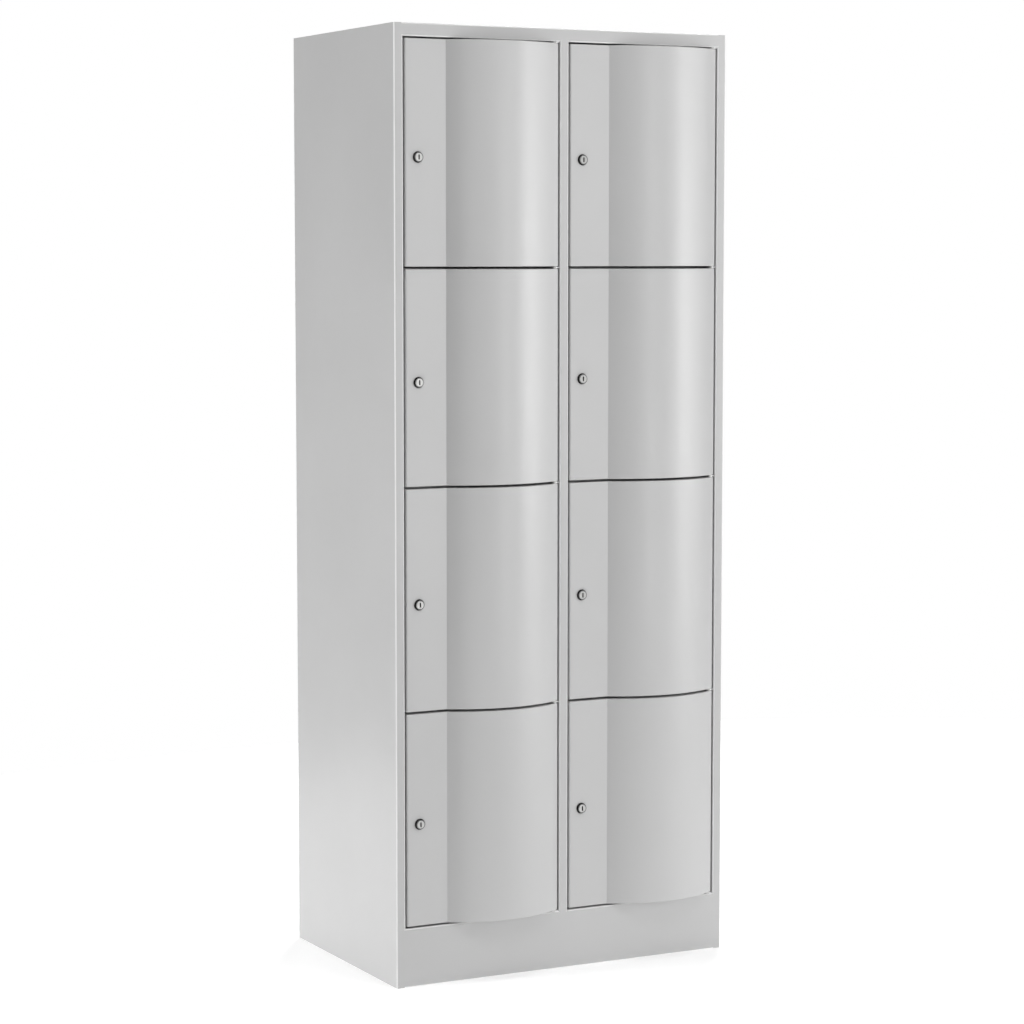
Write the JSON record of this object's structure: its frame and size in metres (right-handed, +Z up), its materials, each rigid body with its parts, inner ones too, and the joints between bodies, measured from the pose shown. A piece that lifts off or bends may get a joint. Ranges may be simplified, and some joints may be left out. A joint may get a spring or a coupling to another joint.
{
  "type": "coin operated locker",
  "caption": "Tall free-standing sheet steel locker with columns of bowed, right-hung doors, each with a key lock that takes a coin deposit.",
  "frame": {"origin": "on the floor, at the middle of the footprint", "axes": "+X to the right seen from the front, +Y to the back, +Z up; the doors face -Y"},
  "size_m": [0.77, 0.54, 1.95],
  "materials": {
    "cabinet_paint": "light grey powder coat",
    "door_paint": "light grey powder coat, satin",
    "bright_steel": "bright zinc plate",
    "white_nylon": "moulded",
    "buffer_rubber": "matt",
    "lock_plastic": "fine moulded grain",
    "nickel": "turned and nickel plated",
    "lever_brass": "stamped"
  },
  "bodies": {
    "cabinet": {"left_side_panel": "cabinet_paint", "right_side_panel": "cabinet_paint", "top_panel": "cabinet_paint", "back_panel": "cabinet_paint", "centre_partition": "cabinet_paint", "plinth_panel": "cabinet_paint", "compartment_floors": "cabinet_paint", "hinge_brackets": "cabinet_paint", "hinge_pins": "bright_steel", "hinge_bushes": "white_nylon", "door_buffers": "buffer_rubber", "back_rivets": "bright_steel"},
    "door_left_top": {"door_left_top": "door_paint", "lock_case_left_top": "lock_plastic", "lock_cover_left_top": "lock_plastic"},
    "plug_left_top": {"lock_plug_left_top": "nickel"},
    "bolt_left_top": {"lock_bolt_left_top": "bright_steel"},
    "lever_left_top": {"coin_lever_left_top": "lever_brass"},
    "door_left_upper": {"door_left_upper": "door_paint", "lock_case_left_upper": "lock_plastic", "lock_cover_left_upper": "lock_plastic"},
    "plug_left_upper": {"lock_plug_left_upper": "nickel"},
    "bolt_left_upper": {"lock_bolt_left_upper": "bright_steel"},
    "lever_left_upper": {"coin_lever_left_upper": "lever_brass"},
    "door_left_lower": {"door_left_lower": "door_paint", "lock_case_left_lower": "lock_plastic", "lock_cover_left_lower": "lock_plastic"},
    "plug_left_lower": {"lock_plug_left_lower": "nickel"},
    "bolt_left_lower": {"lock_bolt_left_lower": "bright_steel"},
    "lever_left_lower": {"coin_lever_left_lower": "lever_brass"},
    "door_left_bottom": {"door_left_bottom": "door_paint", "lock_case_left_bottom": "lock_plastic", "lock_cover_left_bottom": "lock_plastic"},
    "plug_left_bottom": {"lock_plug_left_bottom": "nickel"},
    "bolt_left_bottom": {"lock_bolt_left_bottom": "bright_steel"},
    "lever_left_bottom": {"coin_lever_left_bottom": "lever_brass"},
    "door_right_top": {"door_right_top": "door_paint", "lock_case_right_top": "lock_plastic", "lock_cover_right_top": "lock_plastic"},
    "plug_right_top": {"lock_plug_right_top": "nickel"},
    "bolt_right_top": {"lock_bolt_right_top": "bright_steel"},
    "lever_right_top": {"coin_lever_right_top": "lever_brass"},
    "door_right_upper": {"door_right_upper": "door_paint", "lock_case_right_upper": "lock_plastic", "lock_cover_right_upper": "lock_plastic"},
    "plug_right_upper": {"lock_plug_right_upper": "nickel"},
    "bolt_right_upper": {"lock_bolt_right_upper": "bright_steel"},
    "lever_right_upper": {"coin_lever_right_upper": "lever_brass"},
    "door_right_lower": {"door_right_lower": "door_paint", "lock_case_right_lower": "lock_plastic", "lock_cover_right_lower": "lock_plastic"},
    "plug_right_lower": {"lock_plug_right_lower": "nickel"},
    "bolt_right_lower": {"lock_bolt_right_lower": "bright_steel"},
    "lever_right_lower": {"coin_lever_right_lower": "lever_brass"},
    "door_right_bottom": {"door_right_bottom": "door_paint", "lock_case_right_bottom": "lock_plastic", "lock_cover_right_bottom": "lock_plastic"},
    "plug_right_bottom": {"lock_plug_right_bottom": "nickel"},
    "bolt_right_bottom": {"lock_bolt_right_bottom": "bright_steel"},
    "lever_right_bottom": {"coin_lever_right_bottom": "lever_brass"}
  },
  "joints": [
    {"name": "door_left_top_swing", "type": "hinge", "parent": "cabinet", "child": "door_left_top", "pos_m": [-0.021, -0.23, 1.6935], "axis": [0, 0, 1], "range_deg": [0, 100]},
    {"name": "plug_left_top_turn", "type": "hinge", "parent": "door_left_top", "child": "plug_left_top", "pos_m": [-0.3315, -0.232, 1.685], "axis": [0, -1, 0], "range_deg": [0, 90]},
    {"name": "bolt_left_top_throw", "type": "slide", "parent": "door_left_top", "child": "bolt_left_top", "axis": [-1, 0, 0], "range_m": [0, 0.012]},
    {"name": "lever_left_top_lift", "type": "hinge", "parent": "door_left_top", "child": "lever_left_top", "pos_m": [-0.3375, -0.2, 1.661], "axis": [0, 1, 0], "range_deg": [-12, 0]},
    {"name": "door_left_upper_swing", "type": "hinge", "parent": "cabinet", "child": "door_left_upper", "pos_m": [-0.021, -0.23, 1.2435], "axis": [0, 0, 1], "range_deg": [0, 100]},
    {"name": "plug_left_upper_turn", "type": "hinge", "parent": "door_left_upper", "child": "plug_left_upper", "pos_m": [-0.3315, -0.232, 1.235], "axis": [0, -1, 0], "range_deg": [0, 90]},
    {"name": "bolt_left_upper_throw", "type": "slide", "parent": "door_left_upper", "child": "bolt_left_upper", "axis": [-1, 0, 0], "range_m": [0, 0.012]},
    {"name": "lever_left_upper_lift", "type": "hinge", "parent": "door_left_upper", "child": "lever_left_upper", "pos_m": [-0.3375, -0.2, 1.211], "axis": [0, 1, 0], "range_deg": [-12, 0]},
    {"name": "door_left_lower_swing", "type": "hinge", "parent": "cabinet", "child": "door_left_lower", "pos_m": [-0.021, -0.23, 0.7935], "axis": [0, 0, 1], "range_deg": [0, 100]},
    {"name": "plug_left_lower_turn", "type": "hinge", "parent": "door_left_lower", "child": "plug_left_lower", "pos_m": [-0.3315, -0.232, 0.785], "axis": [0, -1, 0], "range_deg": [0, 90]},
    {"name": "bolt_left_lower_throw", "type": "slide", "parent": "door_left_lower", "child": "bolt_left_lower", "axis": [-1, 0, 0], "range_m": [0, 0.012]},
    {"name": "lever_left_lower_lift", "type": "hinge", "parent": "door_left_lower", "child": "lever_left_lower", "pos_m": [-0.3375, -0.2, 0.761], "axis": [0, 1, 0], "range_deg": [-12, 0]},
    {"name": "door_left_bottom_swing", "type": "hinge", "parent": "cabinet", "child": "door_left_bottom", "pos_m": [-0.021, -0.23, 0.3435], "axis": [0, 0, 1], "range_deg": [0, 100]},
    {"name": "plug_left_bottom_turn", "type": "hinge", "parent": "door_left_bottom", "child": "plug_left_bottom", "pos_m": [-0.3315, -0.232, 0.335], "axis": [0, -1, 0], "range_deg": [0, 90]},
    {"name": "bolt_left_bottom_throw", "type": "slide", "parent": "door_left_bottom", "child": "bolt_left_bottom", "axis": [-1, 0, 0], "range_m": [0, 0.012]},
    {"name": "lever_left_bottom_lift", "type": "hinge", "parent": "door_left_bottom", "child": "lever_left_bottom", "pos_m": [-0.3375, -0.2, 0.311], "axis": [0, 1, 0], "range_deg": [-12, 0]},
    {"name": "door_right_top_swing", "type": "hinge", "parent": "cabinet", "child": "door_right_top", "pos_m": [0.354, -0.23, 1.6935], "axis": [0, 0, 1], "range_deg": [0, 100]},
    {"name": "plug_right_top_turn", "type": "hinge", "parent": "door_right_top", "child": "plug_right_top", "pos_m": [0.0435, -0.232, 1.685], "axis": [0, -1, 0], "range_deg": [0, 90]},
    {"name": "bolt_right_top_throw", "type": "slide", "parent": "door_right_top", "child": "bolt_right_top", "axis": [-1, 0, 0], "range_m": [0, 0.012]},
    {"name": "lever_right_top_lift", "type": "hinge", "parent": "door_right_top", "child": "lever_right_top", "pos_m": [0.0375, -0.2, 1.661], "axis": [0, 1, 0], "range_deg": [-12, 0]},
    {"name": "door_right_upper_swing", "type": "hinge", "parent": "cabinet", "child": "door_right_upper", "pos_m": [0.354, -0.23, 1.2435], "axis": [0, 0, 1], "range_deg": [0, 100]},
    {"name": "plug_right_upper_turn", "type": "hinge", "parent": "door_right_upper", "child": "plug_right_upper", "pos_m": [0.0435, -0.232, 1.235], "axis": [0, -1, 0], "range_deg": [0, 90]},
    {"name": "bolt_right_upper_throw", "type": "slide", "parent": "door_right_upper", "child": "bolt_right_upper", "axis": [-1, 0, 0], "range_m": [0, 0.012]},
    {"name": "lever_right_upper_lift", "type": "hinge", "parent": "door_right_upper", "child": "lever_right_upper", "pos_m": [0.0375, -0.2, 1.211], "axis": [0, 1, 0], "range_deg": [-12, 0]},
    {"name": "door_right_lower_swing", "type": "hinge", "parent": "cabinet", "child": "door_right_lower", "pos_m": [0.354, -0.23, 0.7935], "axis": [0, 0, 1], "range_deg": [0, 100]},
    {"name": "plug_right_lower_turn", "type": "hinge", "parent": "door_right_lower", "child": "plug_right_lower", "pos_m": [0.0435, -0.232, 0.785], "axis": [0, -1, 0], "range_deg": [0, 90]},
    {"name": "bolt_right_lower_throw", "type": "slide", "parent": "door_right_lower", "child": "bolt_right_lower", "axis": [-1, 0, 0], "range_m": [0, 0.012]},
    {"name": "lever_right_lower_lift", "type": "hinge", "parent": "door_right_lower", "child": "lever_right_lower", "pos_m": [0.0375, -0.2, 0.761], "axis": [0, 1, 0], "range_deg": [-12, 0]},
    {"name": "door_right_bottom_swing", "type": "hinge", "parent": "cabinet", "child": "door_right_bottom", "pos_m": [0.354, -0.23, 0.3435], "axis": [0, 0, 1], "range_deg": [0, 100]},
    {"name": "plug_right_bottom_turn", "type": "hinge", "parent": "door_right_bottom", "child": "plug_right_bottom", "pos_m": [0.0435, -0.232, 0.335], "axis": [0, -1, 0], "range_deg": [0, 90]},
    {"name": "bolt_right_bottom_throw", "type": "slide", "parent": "door_right_bottom", "child": "bolt_right_bottom", "axis": [-1, 0, 0], "range_m": [0, 0.012]},
    {"name": "lever_right_bottom_lift", "type": "hinge", "parent": "door_right_bottom", "child": "lever_right_bottom", "pos_m": [0.0375, -0.2, 0.311], "axis": [0, 1, 0], "range_deg": [-12, 0]}
  ],
  "couplings": [
    {"joint": "plug_left_top_turn", "follows": "bolt_left_top_throw", "rad_per_m": 130.9},
    {"joint": "plug_left_upper_turn", "follows": "bolt_left_upper_throw", "rad_per_m": 130.9},
    {"joint": "plug_left_lower_turn", "follows": "bolt_left_lower_throw", "rad_per_m": 130.9},
    {"joint": "plug_left_bottom_turn", "follows": "bolt_left_bottom_throw", "rad_per_m": 130.9},
    {"joint": "plug_right_top_turn", "follows": "bolt_right_top_throw", "rad_per_m": 130.9},
    {"joint": "plug_right_upper_turn", "follows": "bolt_right_upper_throw", "rad_per_m": 130.9},
    {"joint": "plug_right_lower_turn", "follows": "bolt_right_lower_throw", "rad_per_m": 130.9},
    {"joint": "plug_right_bottom_turn", "follows": "bolt_right_bottom_throw", "rad_per_m": 130.9}
  ]
}
